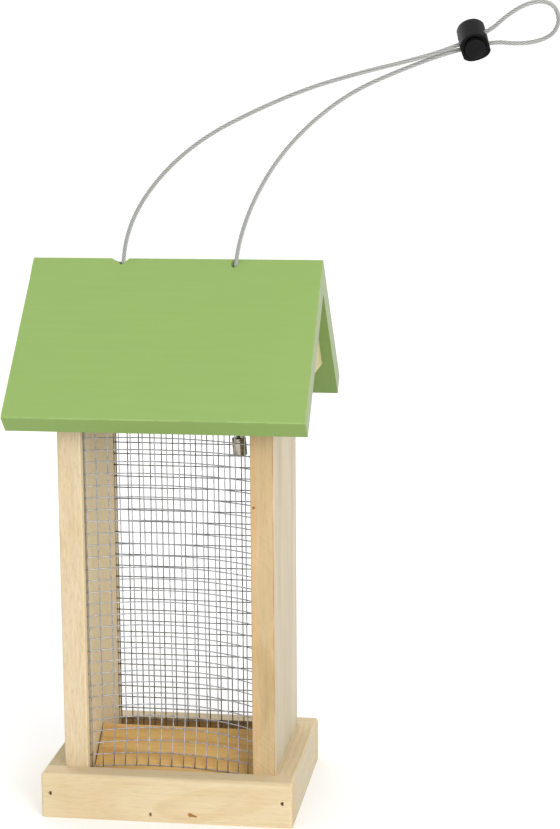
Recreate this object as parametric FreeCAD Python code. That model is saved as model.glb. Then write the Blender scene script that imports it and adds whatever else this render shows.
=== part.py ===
import FreeCAD, Part
import math
import os

# Hanging peanut feeder: a pine tray and two side panels hold two sheets of welded wire mesh,
# and a painted gable roof slides up a steel cable so that the feeder can be filled.
# Millimetres, +Z up, front towards -Y, origin under the middle of the tray.

Vector = FreeCAD.Vector

# Tray: four rails round a floor, with a ridge-shaped wedge that sends the nuts to both mesh walls
tray_width = 130.0
tray_depth = 105.0
tray_height = 23.5
end_rail_thickness = 12.0
side_rail_thickness = 10.0
rail_top_radius = 2.5
rail_corner_radius = 1.5
floor_thickness = 12.0
wedge_half_width = 32.0
wedge_height = 23.4
wedge_end_gap = 0.8
wedge_rail_gap = 2.0

# Side panels and the saw-cut grooves in their inner faces
panel_thickness = 12.0
panel_edge_radius = 0.8
groove_setback = 6.5
groove_width = 3.2
groove_depth = 3.0

# Welded wire mesh: the front sheet is sprung into its grooves and bows inwards, most above the wedge
mesh_wire = 0.6
mesh_pitch = 6.2
mesh_bow_low = 6.6
mesh_bow_most = 14.0
mesh_bow_high = 5.0
mesh_bow_rise = 23.0
mesh_side_shift = -1.6
mesh_reach_into_groove = 1.5
mesh_groove_entry = 0.4
mesh_seat_gap = 0.3
mesh_roof_gap = 3.0
mesh_weld_gap = 0.2

# Gable roof: two boards that meet at a right angle, the back one butted against the front one
roof_length = 150.0
roof_thickness = 12.0
roof_slope_length = 100.0
roof_edge_radius = 0.8
ridge_height = 282.5
roof_seat_gap = 0.2
gable_block_thickness = 12.0
gable_block_half_width = 42.8
gable_block_gap = 2.0

# Hanger crossbar under the roof, with its screws
crossbar_height = 12.0
crossbar_depth = 12.0
crossbar_drop = 41.5
screw_shank_diameter = 3.0
screw_head_diameter = 6.0
screw_head_height = 2.5
screw_hole_clearance = 2.0

# Brad nails, set below the wood's surface
brad_width = 2.0
brad_thickness = 1.2
brad_length = 24.0
brad_set_depth = 0.8
panel_brad_length = 18.0
roof_brad_cover = 0.6
tray_brad_height = 13.0
floor_brad_shift = -8.0
floor_brad_height = 4.0
panel_brad_spacing = 40.0
panel_brad_height = 18.0
roof_brad_places = (20.0, 42.0)
ridge_brad_places = (-55.0, 0.0, 55.0)

# Cable, its holes in the ridge and the crossbar, and the crimped stop sleeves on its ends
cable_diameter = 2.0
cable_hole_diameter = 3.6
cable_joint_gap = 0.3
ridge_hole_shifts = (0.0, -0.15)
ridge_notch_width = 9.0
ridge_notch_depth = 2.0
ridge_notch_shift = -0.8
left_hole_x = -28.5
right_hole_x = 30.0
left_hole_y = -1.0
right_hole_y = -2.0
sleeve_diameter = 7.4
sleeve_length = 9.6
sleeve_bore_clearance = 0.02
sleeve_edge_chamfer = 0.5
left_sleeve_drop = 0.2
right_sleeve_drop = 21.0
right_strand_bend_drop = 6.0
right_strand_lean = 4.5

# Cord lock: a barrel on the doubled cable with a sprung button that has a slot of its own
lock_centre = Vector(149.5, 0.0, 390.0)
lock_cord_angle = 18.0
lock_button_tilt = 32.0
lock_radius = 7.4
lock_back = 12.6
lock_front = 5.5
lock_back_radius = 3.5
lock_floor = 2.0
lock_saddle_low = 2.0
lock_slot_half_width = 4.6
lock_slot_gap = 0.1
lock_slot_back = 1.6
lock_slot_corner_radius = 0.9
button_radius = 6.1
button_running_gap = 0.1
button_face = 7.0
button_back = 4.5
button_edge_radius = 0.9
button_travel = 3.5
button_travel_spare = 0.2
button_slot_half_width = 4.4
spring_pocket_depth = 2.1
spring_pocket_radius = 3.6
spring_wire = 0.6
spring_radius = 2.8
spring_turns = 3
spring_seat_gap = 0.05

# Share of a cable run that the bend at its end takes up, and the facets of wires and cables
BEND_SHARE = 0.45
MESH_BOW_RUNS = 10
CABLE_SIDES = 6
SPRING_SIDES = 4
ROUNDING_BEVELS = 4
HALF_ROOT = math.sqrt(0.5)

# Places worked out from the driving dimensions
panel_outer = tray_width / 2 - side_rail_thickness
panel_inner = panel_outer - panel_thickness
panel_half_depth = tray_depth / 2 - end_rail_thickness
groove_y = panel_half_depth - groove_setback
wedge_ridge_y = wedge_half_width + wedge_rail_gap - panel_half_depth
inner_apex = ridge_height - roof_thickness / HALF_ROOT
panel_apex = inner_apex - roof_seat_gap / HALF_ROOT
gable_block_inner = panel_outer + gable_block_gap
crossbar_top = inner_apex - crossbar_drop
crossbar_bottom = crossbar_top - crossbar_height
mesh_face_y = groove_y - mesh_groove_entry
cable_holes = ((left_hole_x, left_hole_y), (right_hole_x, right_hole_y))
sides = (-1, 1)

# Lock axes: along the cable, down across the slot, and out through the button
cord_angle = math.radians(lock_cord_angle)
button_tilt = math.radians(lock_button_tilt)
cord_direction = Vector(math.cos(cord_angle), 0, math.sin(cord_angle))
below_cord = Vector(math.sin(cord_angle), 0, -math.cos(cord_angle))
button_direction = Vector(0, -1, 0) * math.cos(button_tilt) + below_cord * math.sin(button_tilt)
slot_direction = cord_direction.cross(button_direction)


def block(x_range, y_range, z_range):
    """Box between two limits on each axis."""
    corner = Vector(x_range[0], y_range[0], z_range[0])
    size = (x_range[1] - x_range[0], y_range[1] - y_range[0], z_range[1] - z_range[0])
    return Part.makeBox(*size, corner)


def prism_along_x(outline, x_start, x_end):
    """Solid with a (y, z) outline, from one x to another."""
    corners = [Vector(x_start, y, z) for y, z in outline]
    face = Part.Face(Part.makePolygon(corners + corners[:1]))
    return face.extrude(Vector(x_end - x_start, 0, 0))


def edges_where(shape, test):
    """Edges whose middle point passes a test."""
    return [edge for edge in shape.Edges if test(edge.CenterOfMass)]


def near(a, b):
    """True where two coordinates are the same place."""
    return abs(a - b) < 1e-6


def upright_hole(x, y, z_low, z_high):
    """Cylinder that cuts a cable hole."""
    return Part.makeCylinder(cable_hole_diameter / 2, z_high - z_low, Vector(x, y, z_low))


def end_rail(side):
    """Front (-1) or back (+1) rail, rounded along its top outer edge and at its outer corners."""
    outer = side * tray_depth / 2
    inner = side * panel_half_depth
    rail = block((-tray_width / 2, tray_width / 2), sorted((outer, inner)), (0, tray_height))
    top = edges_where(rail, lambda p: near(p.y, outer) and near(p.z, tray_height))
    rail = rail.makeFillet(rail_top_radius, top)
    corners = edges_where(rail, lambda p: near(abs(p.x), tray_width / 2) and near(p.y, outer))
    return rail.makeFillet(rail_corner_radius, corners)


def side_rail(side):
    """Left (-1) or right (+1) rail between the front and back rails, rounded along its top outer edge."""
    outer = side * tray_width / 2
    x_range = sorted((outer, side * panel_outer))
    rail = block(x_range, (-panel_half_depth, panel_half_depth), (0, tray_height))
    top = edges_where(rail, lambda p: near(p.x, outer) and near(p.z, tray_height))
    return rail.makeFillet(rail_corner_radius, top)


def floor_board():
    """Floor between the panels and the end rails, flush with the rails' underside."""
    return block((-panel_inner, panel_inner), (-panel_half_depth, panel_half_depth), (0, floor_thickness))


def floor_wedge():
    """Ridge-shaped block on the floor just behind the front rail, a little clear of both panels."""
    outline = [
        (wedge_ridge_y - wedge_half_width, floor_thickness),
        (wedge_ridge_y + wedge_half_width, floor_thickness),
        (wedge_ridge_y, floor_thickness + wedge_height),
    ]
    half_length = panel_inner - wedge_end_gap
    return prism_along_x(outline, -half_length, half_length)


def wedge_surface(y):
    """Height of the wedge's slope at a place from front to back."""
    return floor_thickness + wedge_height * (1 - abs(y - wedge_ridge_y) / wedge_half_width)


def side_panel(side):
    """Upright board with a gable-shaped top under the roof and two saw-cut grooves in its inner face."""
    shoulder = panel_apex - panel_half_depth
    outline = [
        (-panel_half_depth, 0),
        (panel_half_depth, 0),
        (panel_half_depth, shoulder),
        (0, panel_apex),
        (-panel_half_depth, shoulder),
    ]
    panel = prism_along_x(outline, side * panel_inner, side * panel_outer)
    uprights = edges_where(panel, lambda p: near(abs(p.y), panel_half_depth) and near(p.z, shoulder / 2))
    panel = panel.makeFillet(panel_edge_radius, uprights)
    x_range = sorted((side * panel_inner, side * (panel_inner + groove_depth)))
    for end in sides:
        y_range = (end * groove_y - groove_width / 2, end * groove_y + groove_width / 2)
        panel = panel.cut(block(x_range, y_range, (floor_thickness, panel_apex)))
    return panel


def polygon(middle, across, up, radius, sides):
    """Closed outline of a wire's section, with flats square to the across direction."""
    corners = []
    for k in range(sides):
        angle = math.pi * (2 * k + 1) / sides
        offset = across * math.cos(angle) + up * math.sin(angle)
        corners.append(middle + offset * radius)
    return Part.makePolygon(corners + corners[:1])


def mesh_rows(bottom, top):
    """Heights of a sheet's level wires, one pitch apart from its lower edge."""
    lowest = bottom + mesh_wire / 2
    count = int((top - lowest) / mesh_pitch) + 1
    return [lowest + mesh_pitch * k for k in range(count)]


def upright_places(width):
    """Places of a sheet's upright wires along its width, measured from its middle."""
    count = int(width / mesh_pitch) + 1
    return [mesh_pitch * (k - (count - 1) / 2) for k in range(count)]


def bow_at(rise, height):
    """Bow of the front sheet at a rise above its lower edge."""
    if rise < mesh_bow_rise:
        return mesh_bow_low + (mesh_bow_most - mesh_bow_low) * rise / mesh_bow_rise
    share = (rise - mesh_bow_rise) / (height - mesh_bow_rise)
    return mesh_bow_most + (mesh_bow_high - mesh_bow_most) * share


def bow_radius(bow):
    """Radius of a level wire that spans the panels with a given bow."""
    return (panel_inner**2 + bow**2) / (2 * bow)


def bow_y(x, bow, forward):
    """Place on a bowed level wire from front to back, or forward of its middle line."""
    radius = bow_radius(bow)
    return bow - mesh_face_y - radius + math.sqrt((radius - forward) ** 2 - x**2)


def bowed_wire(z, bow):
    """Level wire of the front sheet, an arc in short straight runs from groove to groove."""
    reach = panel_inner + mesh_reach_into_groove
    places = [reach * (2 * k / MESH_BOW_RUNS - 1) for k in range(MESH_BOW_RUNS + 1)]
    low = z - mesh_wire / 2
    front = [Vector(x, bow_y(x, bow, mesh_wire / 2), low) for x in places]
    back = [Vector(x, bow_y(x, bow, -mesh_wire / 2), low) for x in reversed(places)]
    face = Part.Face(Part.makePolygon(front + back + front[:1]))
    return face.extrude(Vector(0, 0, mesh_wire))


def front_mesh():
    """Bowed sheet that rests on the wedge: level wires are arcs, uprights stand in front of them."""
    deepest = mesh_bow_low + mesh_wire / 2 - mesh_face_y
    bottom = wedge_surface(deepest) + mesh_seat_gap
    rows = mesh_rows(bottom, inner_apex - mesh_face_y - mesh_roof_gap)
    height = rows[-1] + mesh_wire / 2 - bottom
    wires = [bowed_wire(z, bow_at(z - bottom, height)) for z in rows]
    radius = bow_radius(mesh_bow_most)
    width = 2 * radius * math.asin(panel_inner / radius)
    rises = (0, mesh_bow_rise, (mesh_bow_rise + height) / 2, height)
    forward = mesh_wire / 2 + mesh_weld_gap
    for place in upright_places(width):
        x = radius * math.sin((place + mesh_side_shift) / radius)
        outer = abs(x) + mesh_wire / 2
        back = [(bow_y(outer, bow_at(rise, height), forward), bottom + rise) for rise in rises]
        front = [(y - mesh_wire, z) for y, z in reversed(back)]
        wires.append(prism_along_x(back + front, x - mesh_wire / 2, x + mesh_wire / 2))
    return Part.makeCompound(wires)


def back_mesh():
    """Flat sheet in the back grooves that stands on the floor, uprights on its outer side."""
    rows = mesh_rows(floor_thickness, inner_apex - mesh_face_y - mesh_roof_gap)
    reach = panel_inner + mesh_reach_into_groove
    half = mesh_wire / 2
    wires = [block((-reach, reach), (groove_y - half, groove_y + half), (z - half, z + half)) for z in rows]
    upright_y = groove_y + half + mesh_weld_gap
    for place in upright_places(2 * panel_inner):
        x = place + mesh_side_shift
        z_range = (floor_thickness, rows[-1] + half)
        wires.append(block((x - half, x + half), (upright_y, upright_y + mesh_wire), z_range))
    return Part.makeCompound(wires)


def roof_point(side, along, depth):
    """(y, z) on a roof board, by the distance down its slope and the depth below its outer face."""
    y = side * (along - depth) * HALF_ROOT
    return (y, ridge_height - (along + depth) * HALF_ROOT)


def roof_board(side):
    """Front (-1) or back (+1) roof board, with the cable holes and softened outer edges."""
    top = roof_thickness if side > 0 else 0.0
    outline = [
        roof_point(side, top, 0),
        roof_point(side, roof_slope_length, 0),
        roof_point(side, roof_slope_length, roof_thickness),
        roof_point(side, top, roof_thickness),
    ]
    board = prism_along_x(outline, -roof_length / 2, roof_length / 2)
    eave_y = outline[1][0]
    lower_y = outline[2][0]
    soft = edges_where(board, lambda p: near(p.y, eave_y) or near(p.y, lower_y))
    board = board.makeFillet(roof_edge_radius, soft)
    for (x, y), shift in zip(cable_holes, ridge_hole_shifts):
        board = board.cut(upright_hole(x + shift, y, inner_apex - roof_thickness, ridge_height + 1))
    return board.cut(ridge_notch())


def ridge_notch():
    """Cylinder across the ridge that dents it where the left cable end comes out."""
    radius = ((ridge_notch_width / 2) ** 2 + ridge_notch_depth**2) / (2 * ridge_notch_depth)
    axis_height = ridge_height - ridge_notch_depth + radius
    start = Vector(left_hole_x + ridge_notch_shift, -roof_thickness, axis_height)
    return Part.makeCylinder(radius, 2 * roof_thickness, start, Vector(0, 1, 0))


def gable_block(side):
    """Triangular block under the roof boards, just outside a side panel."""
    g = gable_block_half_width
    outline = [(-g, inner_apex - g), (g, inner_apex - g), (0, inner_apex)]
    gable_block_outer = gable_block_inner + gable_block_thickness
    return prism_along_x(outline, side * gable_block_inner, side * gable_block_outer)


def crossbar():
    """Bar between the panels, with a hole for each cable end."""
    half = crossbar_depth / 2
    bar = block((-panel_inner, panel_inner), (-half, half), (crossbar_bottom, crossbar_top))
    for x, y in cable_holes:
        bar = bar.cut(upright_hole(x, y, crossbar_bottom - 1, crossbar_top + 1))
    return bar


def crossbar_screw(side):
    """Countersunk screw from a panel's outer face into the crossbar, ending short of the cable hole."""
    middle = Vector(side * panel_outer, 0, (crossbar_bottom + crossbar_top) / 2)
    hole_x = left_hole_x if side < 0 else right_hole_x
    screw_length = panel_outer - abs(hole_x) - cable_hole_diameter / 2 - screw_hole_clearance
    inward = Vector(-side, 0, 0)
    radius = screw_shank_diameter / 2
    head = Part.makeCone(screw_head_diameter / 2, radius, screw_head_height, middle, inward)
    shank_start = middle + inward * screw_head_height
    shank = Part.makeCylinder(radius, screw_length - screw_head_height, shank_start, inward)
    return head.fuse(shank).removeSplitter()


def brad_in_end_rail(side, x, z, start):
    """Brad along Y from an end rail's outer face, starting at a depth below it."""
    face = side * tray_depth / 2
    y_range = sorted((face - side * start, face - side * (brad_set_depth + brad_length)))
    x_range = (x - brad_thickness / 2, x + brad_thickness / 2)
    return block(x_range, y_range, (z - brad_width / 2, z + brad_width / 2))


def panel_brad(side, y):
    """Brad along X from a panel's inner face into the side rail."""
    x_range = sorted((side * panel_inner, side * (panel_inner + panel_brad_length)))
    y_range = (y - brad_width / 2, y + brad_width / 2)
    z_range = (panel_brad_height - brad_thickness / 2, panel_brad_height + brad_thickness / 2)
    return block(x_range, y_range, z_range)


def roof_brad(side, x, along):
    """Brad square to a roof board, its head covered by filler and paint."""
    outline = [
        roof_point(side, along - brad_width / 2, roof_brad_cover),
        roof_point(side, along + brad_width / 2, roof_brad_cover),
        roof_point(side, along + brad_width / 2, roof_brad_cover + brad_length),
        roof_point(side, along - brad_width / 2, roof_brad_cover + brad_length),
    ]
    return prism_along_x(outline, x - brad_thickness / 2, x + brad_thickness / 2)


def bent_path(points, name):
    """Wire of straight runs joined by tangent arcs, each as large as its two runs allow."""
    edges = []
    radii = []
    start = points[0]
    for before, corner, after in zip(points, points[1:], points[2:]):
        run_in = corner - before
        run_out = after - corner
        turn = run_in.getAngle(run_out)
        reach = BEND_SHARE * min(run_in.Length, run_out.Length)
        radius = reach / math.tan(turn / 2)
        inbound = Vector(run_in).normalize()
        outbound = Vector(run_out).normalize()
        bend_start = corner - inbound * reach
        bend_end = corner + outbound * reach
        towards_centre = (outbound - inbound).normalize()
        bend_middle = corner + towards_centre * (radius / math.cos(turn / 2) - radius)
        edges.append(Part.LineSegment(start, bend_start).toShape())
        edges.append(Part.Arc(bend_start, bend_middle, bend_end).toShape())
        radii.append(round(radius, 1))
        start = bend_end
    edges.append(Part.LineSegment(start, points[-1]).toShape())
    print(name, "bend radii", radii)
    return Part.Wire(edges)


def tube_along(path, diameter, sides, name):
    """Faceted tube along a path, with its volume compared with section times length."""
    first = path.OrderedEdges[0]
    direction = first.tangentAt(first.FirstParameter)
    across = direction.cross(Vector(0, 1, 0)).normalize()
    start = path.OrderedVertexes[0].Point
    section = polygon(start, across, direction.cross(across), diameter / 2, sides)
    tube = path.makePipeShell([section], True, False)
    expected = Part.Face(section).Area * path.Length
    print(name, "length", round(path.Length, 1), "volume ratio", round(tube.Volume / expected, 4))
    return tube


def on_lock(along, aside):
    """Point in the plane of the lock's slot, along the cable and towards its upper strand."""
    return lock_centre + cord_direction * along - slot_direction * aside


def cable_route():
    """Points of the free cable: left ridge hole, lock, loop, lock, right ridge hole."""
    left_start = Vector(left_hole_x, left_hole_y, inner_apex - abs(left_hole_y))
    right_end = Vector(right_hole_x, right_hole_y, inner_apex - abs(right_hole_y))
    left_strand = [
        left_start,
        Vector(-28.3, -1.0, 280.5),
        Vector(-24.6, -1.0, 298.5),
        Vector(-15.2, -1.0, 315.6),
        Vector(-0.6, -1.0, 331.8),
        Vector(17.4, -1.0, 345.4),
        Vector(40.5, -1.0, 357.0),
        Vector(67.5, -1.0, 368.2),
        Vector(96.0, -1.0, 376.2),
        Vector(117.0, -0.8, 381.0),
    ]
    loop = [
        on_lock(-13.0, 0.75),
        on_lock(9.0, 3.2),
        on_lock(19.0, 8.4),
        on_lock(28.5, 11.1),
        on_lock(37.0, 10.4),
        on_lock(42.6, 5.2),
        on_lock(42.6, -3.8),
        on_lock(37.4, -10.2),
        on_lock(28.5, -11.0),
        on_lock(19.0, -8.3),
        on_lock(9.0, -3.0),
        on_lock(-13.0, -0.75),
    ]
    right_strand = [
        Vector(112.5, 0.3, 376.4),
        Vector(90.0, 0.0, 366.6),
        Vector(70.5, -0.3, 352.6),
        Vector(54.0, -0.6, 335.6),
        Vector(41.6, -1.0, 316.2),
        Vector(33.8, -1.6, 297.0),
        Vector(30.1, -2.0, 279.5),
        right_end,
    ]
    return left_strand + loop + right_strand


def stop_sleeve(top, axis):
    """Crimped sleeve on a cable end, from its top point along its axis."""
    sleeve = Part.makeCylinder(sleeve_diameter / 2, sleeve_length, top, axis)
    rims = [edge for edge in sleeve.Edges if edge.Closed]
    sleeve = sleeve.makeChamfer(sleeve_edge_chamfer, rims)
    bore = Part.makeCylinder(cable_diameter / 2 + sleeve_bore_clearance, sleeve_length, top, axis)
    return sleeve.cut(bore)


def inner_cable_and_sleeves():
    """The two cable ends below the roof, and the sleeves that stop them under the crossbar."""
    down = Vector(0, 0, -1)
    left_top = Vector(left_hole_x, left_hole_y, inner_apex - abs(left_hole_y) - cable_joint_gap)
    left_sleeve_top = Vector(left_hole_x, left_hole_y, crossbar_bottom - left_sleeve_drop)
    left_path = bent_path([left_top, left_sleeve_top + down * sleeve_length], "left cable end")
    left_end = tube_along(left_path, cable_diameter, CABLE_SIDES, "left cable end")
    lean = math.radians(right_strand_lean)
    leaning = Vector(math.sin(lean), 0, -math.cos(lean))
    right_top = Vector(right_hole_x, right_hole_y, inner_apex - abs(right_hole_y) - cable_joint_gap)
    bend = Vector(right_hole_x, right_hole_y, crossbar_bottom - right_strand_bend_drop)
    right_sleeve_top = bend + leaning * ((right_sleeve_drop - right_strand_bend_drop) / math.cos(lean))
    right_path = bent_path([right_top, bend, right_sleeve_top + leaning * sleeve_length], "right cable end")
    right_end = tube_along(right_path, cable_diameter, CABLE_SIDES, "right cable end")
    ends = Part.makeCompound([left_end, right_end])
    return ends, stop_sleeve(left_sleeve_top, down), stop_sleeve(right_sleeve_top, leaning)


def lock_slot(half_width, low, high):
    """Slot through the lock along the cable, with rounded corners, in the lock's own axes."""
    slot = block((-2 * lock_radius, 2 * lock_radius), (-half_width, half_width), (low, high))
    long_edges = edges_where(slot, lambda p: near(p.x, 0))
    return slot.makeFillet(lock_slot_corner_radius, long_edges)


def turned_barrel(radius, rounding, rounded_end, plain_end):
    """Barrel along the lock's own axis, with one rounded end that is turned in short bevels."""
    inward = math.copysign(1, plain_end - rounded_end)
    profile = [Vector(0, 0, plain_end), Vector(radius, 0, plain_end)]
    for k in range(ROUNDING_BEVELS + 1):
        angle = math.pi / 2 * k / ROUNDING_BEVELS
        x = radius - rounding * (1 - math.cos(angle))
        profile.append(Vector(x, 0, rounded_end + inward * rounding * (1 - math.sin(angle))))
    profile += [Vector(0, 0, rounded_end), profile[0]]
    return Part.Face(Part.makePolygon(profile)).revolve(Vector(), Vector(0, 0, 1), 360)


def place_on_lock(shape):
    """Turn a shape from the lock's own axes to its place on the cable."""
    across = button_direction.cross(cord_direction)
    rotation = FreeCAD.Rotation(cord_direction, across, button_direction, "ZXY")
    shape.Placement = FreeCAD.Placement(lock_centre, rotation)
    return shape


def lock_body():
    """Barrel with a rounded closed end, a bore for the button, a cable slot and a saddle-shaped mouth."""
    body = turned_barrel(lock_radius, lock_back_radius, -lock_back, lock_front)
    bore_floor = lock_floor - lock_back
    bore_radius = button_radius + button_running_gap
    body = body.cut(Part.makeCylinder(bore_radius, lock_front - bore_floor + 1, Vector(0, 0, bore_floor)))
    saddle_depth = lock_front - lock_saddle_low
    saddle_radius = (lock_radius**2 + saddle_depth**2) / (2 * saddle_depth)
    saddle_start = Vector(0, -2 * lock_radius, lock_saddle_low + saddle_radius)
    body = body.cut(Part.makeCylinder(saddle_radius, 4 * lock_radius, saddle_start, Vector(0, 1, 0)))
    cable_top = cable_diameter / 2 + lock_slot_gap
    return place_on_lock(body.cut(lock_slot(lock_slot_half_width, -lock_slot_back, cable_top)))


def lock_button():
    """Button with a long slot for the cable and a pocket for the spring."""
    button = turned_barrel(button_radius, button_edge_radius, button_face, -button_back)
    cable_top = cable_diameter / 2 + lock_slot_gap
    slot_top = cable_top + button_travel + button_travel_spare
    y_range = (-button_slot_half_width, button_slot_half_width)
    button = button.cut(block((-lock_radius, lock_radius), y_range, (-cable_top, slot_top)))
    pocket = Part.makeCylinder(spring_pocket_radius, spring_pocket_depth, Vector(0, 0, -button_back))
    return place_on_lock(button.cut(pocket))


def lock_spring():
    """Compression spring between the lock's floor and the button's pocket, in quarter-turn arcs."""
    low = lock_floor - lock_back + spring_wire / 2 + spring_seat_gap
    high = spring_pocket_depth - button_back - spring_wire / 2 - spring_seat_gap

    def coil_point(turns):
        angle = 2 * math.pi * turns
        z = low + (high - low) * turns / spring_turns
        return Vector(spring_radius * math.cos(angle), spring_radius * math.sin(angle), z)

    edges = []
    for k in range(4 * spring_turns):
        arc = Part.Arc(coil_point(k / 4), coil_point((k + 0.5) / 4), coil_point((k + 1) / 4))
        edges.append(arc.toShape())
    samples = [coil_point(k / 16) for k in range(16 * spring_turns + 1)]
    gaps = [(a - b).Length - spring_wire for i, a in enumerate(samples) for b in samples[i + 8 :]]
    print("lock spring least gap to itself", round(min(gaps), 2))
    return place_on_lock(tube_along(Part.Wire(edges), spring_wire, SPRING_SIDES, "lock spring"))


def brad_sets():
    """Brads of the tray, floor, panels and roof, and the slots that the tray's brads leave in the rails."""
    side_rail_middle = tray_width / 2 - side_rail_thickness / 2
    tray_places = [(end, side * side_rail_middle, tray_brad_height) for end in sides for side in sides]
    floor_places = [(end, floor_brad_shift, floor_brad_height) for end in sides]
    tray = [brad_in_end_rail(*place, brad_set_depth) for place in tray_places]
    floor = [brad_in_end_rail(*place, brad_set_depth) for place in floor_places]
    slots = [brad_in_end_rail(*place, -1.0) for place in tray_places + floor_places]
    panel = [panel_brad(side, end * panel_brad_spacing / 2) for side in sides for end in sides]
    block_middle = gable_block_inner + gable_block_thickness / 2
    roof = [roof_brad(-1, x, roof_thickness / 2) for x in ridge_brad_places]
    for end in sides:
        for x in (-block_middle, block_middle):
            roof += [roof_brad(end, x, roof_thickness + along) for along in roof_brad_places]
    return tray, floor, panel, roof, slots


def cut_all(shape, tools):
    """Shape with every tool cut out of it."""
    return shape.cut(Part.makeCompound(tools))


tray_brads, floor_brads, panel_brads, roof_brads, brad_slots = brad_sets()
screws = [crossbar_screw(side) for side in sides]
inner_cable, left_sleeve, right_sleeve = inner_cable_and_sleeves()
cable_path = bent_path(cable_route(), "hanger cable")
free_cable = tube_along(cable_path, cable_diameter, CABLE_SIDES, "hanger cable")

nodes = {
    "tray_front_rail": cut_all(end_rail(-1), brad_slots),
    "tray_back_rail": cut_all(end_rail(1), brad_slots),
    "tray_left_rail": cut_all(side_rail(-1), tray_brads + panel_brads),
    "tray_right_rail": cut_all(side_rail(1), tray_brads + panel_brads),
    "floor_board": cut_all(floor_board(), floor_brads),
    "floor_wedge": floor_wedge(),
    "left_panel": cut_all(side_panel(-1), panel_brads + screws),
    "right_panel": cut_all(side_panel(1), panel_brads + screws),
    "front_mesh": front_mesh(),
    "back_mesh": back_mesh(),
    "hanger_crossbar": cut_all(crossbar(), screws),
    "crossbar_screws": Part.makeCompound(screws),
    "tray_brads": Part.makeCompound(tray_brads),
    "floor_brads": Part.makeCompound(floor_brads),
    "panel_brads": Part.makeCompound(panel_brads),
    "hanger_cable_inner": inner_cable,
    "left_stop_sleeve": left_sleeve,
    "right_stop_sleeve": right_sleeve,
    "roof_front_board": cut_all(roof_board(-1), roof_brads),
    "roof_back_board": cut_all(roof_board(1), roof_brads),
    "left_gable_block": cut_all(gable_block(-1), roof_brads),
    "right_gable_block": cut_all(gable_block(1), roof_brads),
    "roof_brads": Part.makeCompound(roof_brads),
    "hanger_cable": free_cable,
    "cord_lock_body": lock_body(),
    "cord_lock_button": lock_button(),
    "cord_lock_spring": lock_spring(),
}

os.makedirs("parts", exist_ok=True)
for name, shape in nodes.items():
    if not shape.isValid():
        raise ValueError("invalid solid in " + name)
    shape.exportStep(os.path.join("parts", name + ".step"))
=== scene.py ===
"""Looks of a hanging peanut feeder: bare pine, a green painted roof, welded wire mesh and a steel cable.

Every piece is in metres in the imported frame: +Z up, front towards -Y, origin under the middle of the tray.
"""

import logging
import math
import random
from dataclasses import dataclass
from enum import Enum
from functools import cache
from typing import ClassVar, Iterable, Optional, Protocol, Sequence, Union

import bmesh
import bpy
from mathutils import Matrix, Vector


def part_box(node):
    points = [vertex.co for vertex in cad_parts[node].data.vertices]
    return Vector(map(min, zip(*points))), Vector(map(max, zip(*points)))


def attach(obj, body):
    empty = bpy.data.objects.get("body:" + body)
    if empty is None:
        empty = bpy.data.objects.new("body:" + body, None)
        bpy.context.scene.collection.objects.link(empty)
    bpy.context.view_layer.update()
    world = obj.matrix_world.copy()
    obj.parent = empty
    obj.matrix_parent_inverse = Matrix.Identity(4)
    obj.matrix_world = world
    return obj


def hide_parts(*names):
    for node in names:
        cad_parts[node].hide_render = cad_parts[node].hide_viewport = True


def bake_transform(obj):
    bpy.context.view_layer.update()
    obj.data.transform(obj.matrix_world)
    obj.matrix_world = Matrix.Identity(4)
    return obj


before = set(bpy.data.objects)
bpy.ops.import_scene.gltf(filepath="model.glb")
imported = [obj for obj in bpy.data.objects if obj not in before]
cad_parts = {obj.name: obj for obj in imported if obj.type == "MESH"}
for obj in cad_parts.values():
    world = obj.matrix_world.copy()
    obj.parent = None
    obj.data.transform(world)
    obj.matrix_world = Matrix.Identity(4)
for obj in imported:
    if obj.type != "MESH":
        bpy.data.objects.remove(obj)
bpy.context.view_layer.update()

MM = 0.001
WELD = 0.002 * MM
SHARP_EDGE = math.radians(30)
TURNED_SIDES = 72
ROUNDING_STEPS = 8
WIRE_SIDES = 8
FRONT_RAIL_FACE = -52.5 * MM
LOG = logging.getLogger("peanut_feeder")

Colour = tuple[float, float, float]
Place = tuple[float, float, float]
Mesh = bmesh.types.BMesh
Socket = bpy.types.NodeSocket
Value = Union[float, Socket]


def linear(level: int) -> float:
    """Linear light of a screen level of 0 to 255."""
    share = level / 255
    return share / 12.92 if share <= 0.04045 else ((share + 0.055) / 1.055) ** 2.4


def from_screen(red: int, green: int, blue: int) -> Colour:
    """Linear light of a screen colour, as a shader takes it."""
    return linear(red), linear(green), linear(blue)


class Side(Enum):
    """Directions that a face may look in."""

    RIGHT = (1.0, 0.0, 0.0)
    FRONT = (0.0, -1.0, 0.0)
    TOP = (0.0, 0.0, 1.0)


class Grain(Enum):
    """Direction of a board's grain, as the order of its axes: along, across, deep."""

    ALONG_X = (0, 1, 2)
    ALONG_Y = (1, 0, 2)
    ALONG_Z = (2, 0, 1)

    def direction(self) -> Place:
        """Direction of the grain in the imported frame."""
        return tuple(float(k == self.value[0]) for k in range(3))


class Body(Enum):
    """Bodies of the frame that pieces ride on."""

    FEEDER = "feeder_body"
    ROOF = "roof"
    LOCK = "cord_lock"
    BUTTON = "lock_button"


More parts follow.
